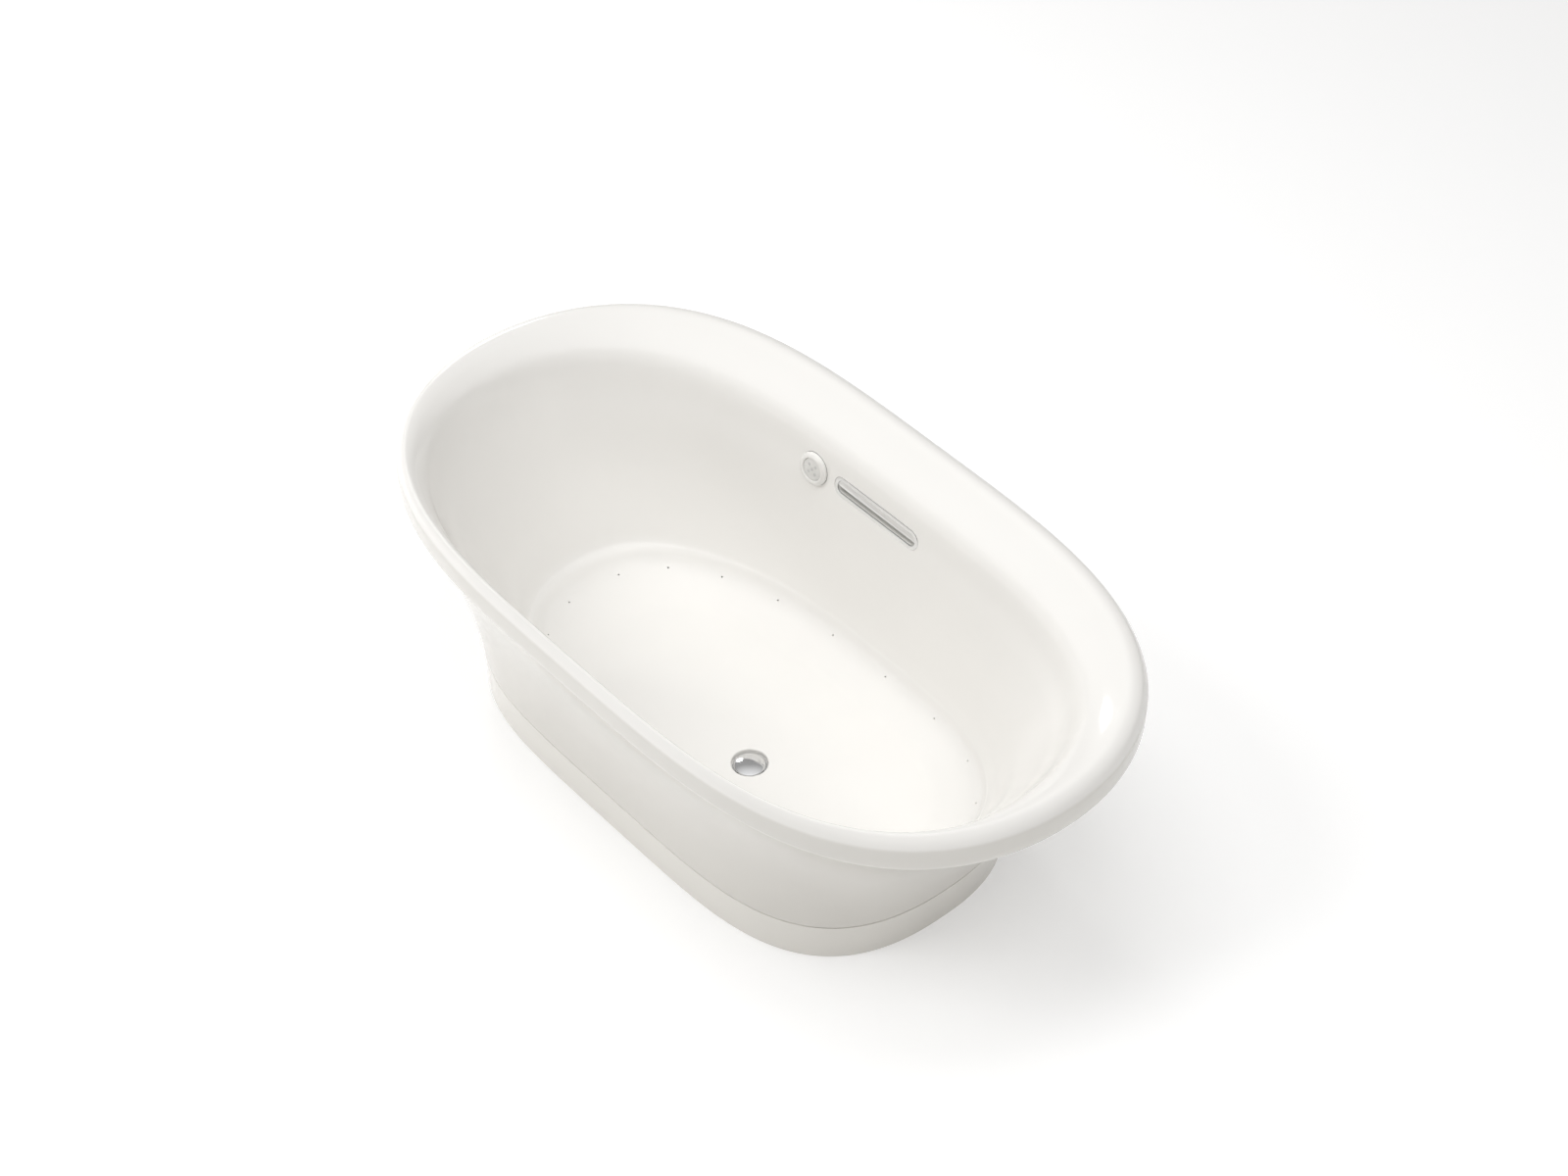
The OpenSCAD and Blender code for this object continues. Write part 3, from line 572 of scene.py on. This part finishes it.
WHITE = (0.90, 0.888, 0.862)
# The outer skin and the plinth are the basin's white acrylic painted darker and warmer: painted shade for
# their outward faces.
SHROUD_PAINTED_SHADE = (0.695, 0.675, 0.632)
PLINTH_PAINTED_SHADE = (0.80, 0.78, 0.735)
# the lip's outer face: the basin acrylic painted darker, as painted shade
LIP_PAINTED_SHADE = (0.765, 0.748, 0.708)
M = {
    "acrylic": basin_acrylic("acrylic_gloss_lip_shade", WHITE, LIP_PAINTED_SHADE, 0.10),
    # the outer skin: the same acrylic, with painted shade in its colour
    "shroud_acrylic": acrylic("acrylic_shroud_painted_shade", SHROUD_PAINTED_SHADE, 0.13),
    "seal_rubber": rubber("rubber_black", (0.035, 0.035, 0.038)),
    "board_wood": board("board_chips"),
    "frame_steel": steel("steel_plated", (0.60, 0.61, 0.62)),
    "chrome": chrome("chrome_polished"),
    "chrome_lined": lined_chrome("chrome_lined", (0.86, 0.85, 0.81)),
    # the plinth: the same acrylic, with painted shade in its colour
    "plinth_acrylic": acrylic("acrylic_plinth_painted_shade", PLINTH_PAINTED_SHADE, 0.13),
    "black_plastic": plastic("plastic_black", (0.028, 0.028, 0.031), 0.42),
    "grey_plastic": plastic("plastic_grey", (0.36, 0.37, 0.385), 0.5),
    "keypad_white": plastic("keypad_shell", (0.88, 0.87, 0.845), 0.24, 1400.0, 0.2),
    "keypad_grey": plastic("keypad_disc", (0.76, 0.755, 0.735), 0.3, 1400.0, 0.2),
    "key_dark": plastic("key_cap", (0.62, 0.62, 0.61), 0.35, 1400.0),
    "circuit_board": striped("board_green", (0.02, 0.16, 0.06), (0.05, 0.26, 0.10), 90.0, 0.35),
    "housing_grey": plastic("housing_grey", (0.55, 0.54, 0.50), 0.5),
    "heater_film": striped("heater_tracks", (0.42, 0.20, 0.07), (0.62, 0.36, 0.16), 26.0, 0.35),
}
SLOT_OF = {r["node"]: r["material_slot"] for r in frame["record"]["subparts"]}
for node_name, cad in NODES.items():
    own = "housing_grey" if node_name == "overflow_housing" else SLOT_OF[node_name]
    cad.data.materials.clear()
    cad.data.materials.append(M[own])


def piece(obj, body, *replaced, material=None):
    """Gives a new piece its body and the material of the first replaced node's slot, or its own, and hides
    the nodes it stands for.
    """
    name = SLOT_OF[replaced[0]]
    obj.data.materials.clear()
    obj.data.materials.append(material or M[name])
    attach(obj, body)
    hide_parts(*replaced)


# ---------- frames of the wall fittings ----------
def wall_frame(at, yaw):
    """A frame on the far wall: +Z out of the wall into the bath, +X along it."""
    turn = Matrix.Rotation(math.radians(yaw), 4, "Z") @ Matrix.Rotation(math.radians(90 - TILT), 4, "X")
    return Matrix.Translation(Vector(at) * MM) @ turn


AT_SLOT = wall_frame(SLOT, 0)
AT_KEYPAD = wall_frame(KEYPAD, YAW)


def moved(x, y):
    """The frame moved in millimetres along X and Y."""
    return Matrix.Translation(Vector((x, y, 0)) * MM)


def key_frame(r, a):
    return AT_KEYPAD @ moved(r * math.cos(math.radians(a)), r * math.sin(math.radians(a)))


AT_DRAIN = moved(*DRAIN)


# ---------- basin ----------
def basin_rings():
    """The basin's closed section: down the inside, round the drain's well, and back up behind it."""
    ovals = blended_ovals(SKIN, SKIN_STEPS)
    skin = np.array([oval_ring(o) for o in ovals])
    back = skin - SHELL * ring_normals(skin)
    well = [(50, FLOOR_Z), (41, FLOOR_Z)] + arc(38.5, FLOOR_Z - 2.5, 2.5, 90, 180, 7)
    well += [(36, 84), (36, 81.5)] + arc(34.5, 81.5, 1.5, 0, -90, 5) + [(30, 80), (25.5, 80), (25.5, 74)]
    under = [(46, 74), (46, 80), (46, FLOOR_Z - SHELL)]
    body = list(skin) + [circle_ring(r, z) for r, z in well + under]
    hidden = [g for i, g in enumerate(back[:-1][::-1]) if i % 2 == 0 or i < 4]
    if not np.allclose(hidden[-1], back[0]):
        hidden.append(back[0])
    lip_fold = (back[0] + skin[0]) / 2 + [0, 0, -0.6]
    return body + hidden + [lip_fold]


def rod(name, r, z0, z1, at, seg=96):
    """A plain cylinder from z0 to z1 of the frame `at`."""
    return lathe(name, [(0, z0), (r, z0), (r, z1), (0, z1)], at, seg, closed=False)


def jet_cutters():
    """Short rods through the skin, where the air jets are."""
    rods = []
    u = np.radians(360 * (np.arange(JETS) + 0.5) / JETS)
    upper, lower = (oval_points(o, u) for o in JET_OVALS)
    for x, y in ((upper + lower) / 2)[:, :2]:
        at = Matrix.Translation(Vector((x, y, JET_Z)) * MM) @ Matrix.Rotation(math.atan2(y, x), 4, "Z")
        rods.append(rod("rod", JET_RADIUS, -JET_REACH, JET_REACH,
                        at @ Matrix.Rotation(math.radians(JET_TILT), 4, "Y"), seg=20))
    return rods


def skin_normals(mesh, source):
    """Gives a cut mesh the shading of the uncut one, wherever its faces still lie on it."""
    inward, on_skin, same_way = 0.02, 0.0003, 0.94
    polys = [tuple(p.vertices) for p in source.polygons]
    co = [v.co.copy() for v in source.vertices]
    tree = BVHTree.FromPolygons(co, polys)
    corners = [c.vector.copy() for c in source.corner_normals]
    starts = [p.loop_start for p in source.polygons]
    own = [c.vector.copy() for c in mesh.corner_normals]
    normals = [None] * len(mesh.loops)
    for poly in mesh.polygons:
        for i, v in zip(poly.loop_indices, poly.vertices):
            where = mesh.vertices[v].co.lerp(poly.center, inward)
            spot, face_normal, index, gap = tree.find_nearest(where)
            if gap >= on_skin or face_normal.dot(poly.normal) <= same_way:
                normals[i] = own[i]
                continue
            weights = poly_3d_calc([co[k] for k in polys[index]], spot)
            total = Vector((0, 0, 0))
            for k, w in enumerate(weights):
                total += corners[starts[index] + k] * w
            normals[i] = total.normalized()
    mesh.normals_split_custom_set(normals)


def mark_painted_lip_shade(mesh):
    """Marks where painted shade goes on the lip's outer face: 1 up to its edge line and 0 above it and inside
    the bath.
    """
    rim_only, fade_top, fade = 0.93, 559.0, 5.0
    co = np.empty(len(mesh.vertices) * 3)
    mesh.vertices.foreach_get("co", co)
    x, y, z = co.reshape(-1, 3).T / MM
    span, reach = (EDGE[2] - EDGE[1]) / 2, (EDGE[4] - EDGE[3]) / 2
    out = np.abs(x / span) ** EDGE[5] + np.abs(y / reach) ** EDGE[7]
    painted_lip_shade = np.where(out > rim_only, np.clip((fade_top - z) / fade, 0, 1), 0)
    mesh.attributes.new("painted_lip_shade", "FLOAT", "POINT").data.foreach_set("value", painted_lip_shade)


def make_basin():
    basin = rings_mesh("basin", basin_rings(), closed=True, sharp=40)
    uncut = basin.data.copy()
    lands = (-10, -3)                        # the thickened wall behind the fittings
    land = stadium_sweep("land", SLOT_LENGTH + 26, SLOT_WIDTH + 20, [(0, z) for z in lands],
                         AT_SLOT, False, True)
    pad = rod("pad", 42, *lands, AT_KEYPAD)
    for shape in (land, pad):
        bool_op(basin, shape, "UNION")
    cuts = [
        stadium_sweep("slot_cut", SLOT_LENGTH, SLOT_WIDTH, [(0, -40), (0, 20)], AT_SLOT, False, True),
        stadium_sweep("slot_recess", SLOT_LENGTH + 10, SLOT_WIDTH + 10, [(0, -RECESS), (0, 20)],
                      AT_SLOT, False, True),
        rod("keypad_cut", KEYPAD_HOLE, -40, 20, AT_KEYPAD),
        rod("keypad_recess", 35.5, -RECESS, 30, AT_KEYPAD),
    ] + jet_cutters()
    for cutter in cuts:
        bool_op(basin, cutter, "DIFFERENCE")
    smooth(basin.data, 40)
    skin_normals(basin.data, uncut)
    mark_painted_lip_shade(basin.data)
    bpy.data.meshes.remove(uncut)
    piece(basin, TUB, "basin_shell")


make_basin()


# ---------- shroud, plinth, seal ----------
def shroud_ring(z, t):
    """The shroud's section at height z, t inside its outer face."""
    k = (min(z, LIP_Z) / LIP_Z) ** FLARE
    low, high = oval_ring(inset(FOOT_OVAL, t, t, z)), oval_ring(inset(SHROUD_OVAL, t, t, z))
    return low * (1 - k) + high * k


def make_shroud():
    """Its foot edge is eased, and its top goes up behind the lip."""
    foot, top = 90.5, 515
    rise = [foot + 0.8, foot + 2.5] + list(np.linspace(98, LIP_Z, 44)) + [top]
    outer = [shroud_ring(foot, 0.9)] + [shroud_ring(z, 0) for z in rise]
    inner = [shroud_ring(z, SHROUD) for z in rise[::-1][::3]] + [shroud_ring(foot, SHROUD)]
    piece(rings_mesh("shroud", outer + inner), TUB, "outer_shroud")


def make_plinth():
    """A band flush with the shroud, with an upstand that goes up inside it."""
    foot, top, upstand = 2, 89, 104
    slip = SHROUD + 0.6
    outer = [shroud_ring(foot, 1.2), shroud_ring(3.2, 0)] + [shroud_ring(z, 0) for z in np.linspace(8, 86, 9)]
    outer += [shroud_ring(top - 0.9, 0), shroud_ring(top, 0.9), shroud_ring(top, slip),
              shroud_ring(upstand, slip)]
    inner = [shroud_ring(upstand, slip + 3), shroud_ring(70, slip + 3), shroud_ring(64, SHROUD),
             shroud_ring(foot, SHROUD)]
    # the plinth's material carries painted shade in its colour
    piece(rings_mesh("plinth", outer + inner), TUB, "plinth_band", material=M["plinth_acrylic"])


def make_seal():
    """Fills the gap between the lip and the shroud."""
    low, high, lip_in, overlap = 508, 514, 8.6, 0.5
    outer = [inset(EDGE, lip_in, lip_in, z) for z in (low, high)]
    inner = [inset(SHROUD_OVAL, -overlap, -overlap, z) for z in (high, low)]
    piece(rings_mesh("lip_seal", [oval_ring(o) for o in outer + inner]), TUB, "rim_seal")


make_shroud()
make_plinth()
make_seal()


# ---------- overflow ----------
def make_overflow():
    rim, rise, into_slot, sleeve, depth = 4.5, 1.2, 3.5, 3.0, 13
    ring = rounded([(rim, -RECESS), (rim, rise), (-into_slot, rise), (-into_slot, -RECESS),
                    (-into_slot, -depth), (sleeve - into_slot, -depth), (sleeve - into_slot, -RECESS)],
                   [0, 1.1, 1.3, 0, 0.3, 0.3, 0], 6)
    edge = stadium_sweep("overflow_frame", SLOT_LENGTH, SLOT_WIDTH, ring, AT_SLOT)
    into_wall = AT_SLOT.inverted()
    lined = [float((into_wall @ v.co).z / MM < 0.1 - RECESS) for v in edge.data.vertices]
    edge.data.attributes.new("liner", "FLOAT", "POINT").data.foreach_set("value", lined)
    piece(edge, TUB, "overflow_trim", material=M["chrome_lined"])

    gap, low_edge = 7.6, -2                  # the bar fills the slot's upper part, down to low_edge
    section = [(-1.2, -8), (0, -7.2), (0, -2.0), (-0.35, -1.15), (-1.2, -0.8)]
    slab = stadium_sweep("overflow_strip", SLOT_LENGTH - gap, SLOT_WIDTH - gap, section, AT_SLOT, False, True)
    block = box("block", (-130, low_edge, -9), (130, 20, 1), AT_SLOT, BLOCK_FACES)
    bool_op(slab, block, "INTERSECT")
    smooth(slab.data, 30)
    piece(slab, TUB, "overflow_bar")


make_overflow()


# ---------- keypad ----------
def make_keypad():
    top = 10.0
    crown = rounded([(31.0, top - 0.9), (28.6, top), (24.6, top), (23, top - 1.4)], [1.5, 2, 1.2, 0.3], 4)
    outline = [(34.7, 0.9), (35, 2)] + arc(31.4, 5.2, 3.4, 0, 62, 6)[1:] + crown
    outline += [(23, 3.5), (27, 3.5), (27, 0.9)]
    piece(lathe("keypad_rim", outline, AT_KEYPAD, seg=128), TUB, "keypad_bezel")

    face = [(0, 5.6), (18, 5.6), (18, 1.2), (26.4, 1.2), (26.4, 3.2), (22.6, 3.2), (22.6, 8.3), (0, 8.3)]
    disc = lathe("keypad_disc", rounded(face, [0, 0.3, 0, 0, 0, 0, 0.8, 0]), AT_KEYPAD, seg=128, closed=False)
    hole = [(0, 0), (3.5, 0), (3.5, 7.9), (3.9, 8.4), (3.9, 12), (0, 12)]
    for r, a in [(0, 0)] + [(KEY_RING, 45 + 90 * k) for k in range(4)]:
        bool_op(disc, lathe("hole", hole, key_frame(r, a), seg=40, closed=False), "DIFFERENCE")
    smooth(disc.data, 35)
    piece(disc, TUB, "keypad_face")

    cap = [(0, 2), (3.0, 2), (3.2, 2.2), (3.2, 3.6), (4.6, 3.6), (4.6, 4.8), (3.2, 4.8)]
    cap += arc(2.5, 8.0, 0.7, 0, 60, 5) + [(1.9, 8.85), (0.9, 8.97), (0, 9.0)]
    for name, r, a in KEYS:
        key = lathe("button_cap_" + name, cap, key_frame(r, a), seg=48, closed=False)
        piece(key, "button_" + name, "key_" + name)


make_keypad()


# ---------- drain ----------
def make_drain():
    bore, hub_bore, hub_r, spokes = 20.5, 3.06, 8, 3
    section = rounded([(bore, 50), (24.5, 50), (24.5, 80), (34, 80), (34, 82), (bore, 82)],
                      [0.5, 0.5, 0, 0.6, 1.2, 0.8])
    ring = lathe("drain_flange", section, AT_DRAIN, seg=128)
    hub = lathe("hub", [(hub_bore, 66), (hub_r - 0.6, 66), (hub_r, 66.6), (hub_r, 75.4), (hub_r - 0.6, 76),
                        (hub_bore, 76)], AT_DRAIN, seg=64)
    parts = [ring, hub]
    for k in range(spokes):
        at = AT_DRAIN @ Matrix.Rotation(math.radians(60 + 360 * k / spokes), 4, "Z")
        parts.append(box("spoke", (hub_r - 1, -1.5, 70), (bore + 2, 1.5, 75), at, SPOKE_FACES))
    piece(join_shapes("drain_flange", parts), TUB, "drain_body")

    under, shoulder, reach, crown = 84, 87.1, 30.0, 3.4
    dome = [(0, under), (29.6, under), (30.6, 84.3), (31, 85.0), (31, 85.6), (30.7, 86.4),
            (reach, shoulder)]
    for k in range(1, 15):
        r = reach * (1 - k / 14)
        dome.append((r, shoulder + crown * (1 - (r / reach) ** 2.3)))
    piece(lathe("stopper_dome", dome, AT_DRAIN, seg=128, closed=False), "stopper", "drain_cap")


make_drain()


# ---------- feet ----------
def make_stud(x, y, body, cad):
    """A levelling stud with a rolled thread, a hexagon and a round base."""
    seg, pitch, z0, z1, top = 36, 1.75, 19.0, 57.0, 58
    r_stud, r_base, across_flats, cut_depth = 6, 8, 16, 1.0
    base = ((7.2, 4), (r_base, 4.8), (r_base, 8.4), (7.4, 9), (r_stud, 9), (r_stud, 18))
    rings = [circle_ring(r, z, (x, y), seg) for r, z in base]
    rows = int((z1 - z0) / pitch * 6)
    u = angles(seg)
    for i in range(rows + 1):
        z = z0 + (z1 - z0) * i / rows
        phase = (z / pitch + u / (2 * math.pi)) % 1.0
        fade = min(1, (z - z0) / 2, (z1 - z) / 1.5)
        r = r_stud - cut_depth * fade * (1 - np.abs(2 * phase - 1)) ** 0.8
        rings.append(np.stack([x + r * np.cos(u), y + r * np.sin(u), np.full(seg, z)], 1))
    rings.append(circle_ring(5.2, top, (x, y), seg))
    stud = rings_mesh("stud_" + body[-1], rings, closed=False, caps=True, sharp=50)
    corner = across_flats / math.sqrt(3)
    outline = [(5, 12.5), (corner - 0.4, 12.5), (corner, 12.9), (corner, 17.1), (corner - 0.4, 17.5),
               (5, 17.5)]
    bool_op(stud, lathe("hexagon", outline, moved(x, y), seg=6, sharp=20), "UNION")
    smooth(stud.data, 40)
    piece(stud, body, cad)


def make_feet():
    pad = [(0, 0), (13, 0), (13.6, 0.7), (15, 0.7), (15.6, 0)]
    pad += rounded([(20, 0), (22, 2), (22, 5), (12, 11), (8.1, 11), (8.1, 4)], [1, 1, 1.5, 1.2, 0.4, 0])
    pad += [(0, 4)]
    for i, (x, y) in enumerate(FEET, 1):
        piece(lathe("pad_%d" % i, pad, moved(x, y), seg=96, closed=False), "foot_%d" % i, "foot_pad_%d" % i)
        make_stud(x, y, "stud_%d" % i, "foot_stud_%d" % i)


make_feet()

# ---------- floor and light ----------
SKY = ((0.0, 0.05, (1.0, 0.9, 0.75)), (0.25, 0.10, (1.0, 0.9, 0.75)), (0.5, 0.26, (1.0, 0.98, 0.96)),
       (0.75, 0.32, (1.0, 0.99, 0.98)), (1.0, 0.88, (1.0, 1.0, 1.0)))    # height, level, tint
SKY_STRENGTH = 1.1
FLOOR_REACH, FLOOR_TONE, FLOOR_GLOW = 14, 0.84, 0.30
# name, place, aimed at, size, watts, seen in gloss
LAMPS = (("key", (-1.65, -5.6, 7.3), (0, 0, 0.3), (3.0, 3.0), 195, False),
         ("low", (-4.5, -2.0, 1.5), (0, 0, 0.4), (3.0, 2.0), 75, False),
         ("top", (0.2, -0.1, 3.6), (0, 0, 0.4), (1.8, 1.2), 23, False),
         ("foot", (3.0, -0.6, 4.2), (0, 0, 0.3), (2.5, 2.5), 42, False),
         ("glint", (-3.0, 1.35, 2.4), (0, 0, 0.3), (0.4, 0.4), 12, True))


def make_sky():
    """A studio sky in bands of height: dim and warm below, bright above."""
    world = bpy.data.worlds.new("studio")
    bpy.context.scene.world = world
    world.use_nodes = True
    tree = world.node_tree
    where = tree.nodes.new("ShaderNodeTexCoord")
    height = tree.nodes.new("ShaderNodeSeparateXYZ")
    bands = tree.nodes.new("ShaderNodeValToRGB")
    tree.links.new(where.outputs["Generated"], height.inputs["Vector"])
    tree.links.new(height.outputs["Z"], bands.inputs["Fac"])
    elements = bands.color_ramp.elements
    elements[0].position, elements[1].position = SKY[0][0], SKY[-1][0]
    for at, level, tint in SKY[1:-1]:
        elements.new(at)
    for element, (at, level, tint) in zip(elements, SKY):
        element.color = (*(level * c for c in tint), 1)
    tree.links.new(bands.outputs["Color"], tree.nodes["Background"].inputs["Color"])
    tree.nodes["Background"].inputs["Strength"].default_value = SKY_STRENGTH


def make_floor():
    mesh = bpy.data.meshes.new("studio_floor")
    r = FLOOR_REACH
    mesh.from_pydata([(-r, -r, 0), (r, -r, 0), (r, r, 0), (-r, r, 0)], [], [(0, 1, 2, 3)])
    floor = bpy.data.objects.new("studio_floor", mesh)
    bpy.context.scene.collection.objects.link(floor)
    mat = bpy.data.materials.new("studio_floor")
    mat.use_nodes = True
    shade = principled(mat)
    shade.inputs["Base Color"].default_value = (FLOOR_TONE, FLOOR_TONE, FLOOR_TONE, 1)
    shade.inputs["Roughness"].default_value = 1.0
    shade.inputs["Specular IOR Level"].default_value = 0.0
    shade.inputs["Emission Color"].default_value = (1, 1, 1, 1)
    shade.inputs["Emission Strength"].default_value = FLOOR_GLOW
    mesh.materials.append(mat)


def area_light(name, at, target, size, power, glossy):
    lamp = bpy.data.objects.new(name, bpy.data.lights.new(name, "AREA"))
    lamp.data.shape = "RECTANGLE"
    lamp.data.size, lamp.data.size_y = size
    lamp.data.energy = power
    lamp.location = at
    lamp.rotation_mode = "QUATERNION"
    lamp.rotation_quaternion = (Vector(target) - Vector(at)).to_track_quat("-Z", "Y")
    lamp.visible_glossy = glossy
    bpy.context.scene.collection.objects.link(lamp)


bpy.context.scene.view_settings.view_transform = "Standard"
make_sky()
make_floor()
for lamp in LAMPS:
    area_light(*lamp)
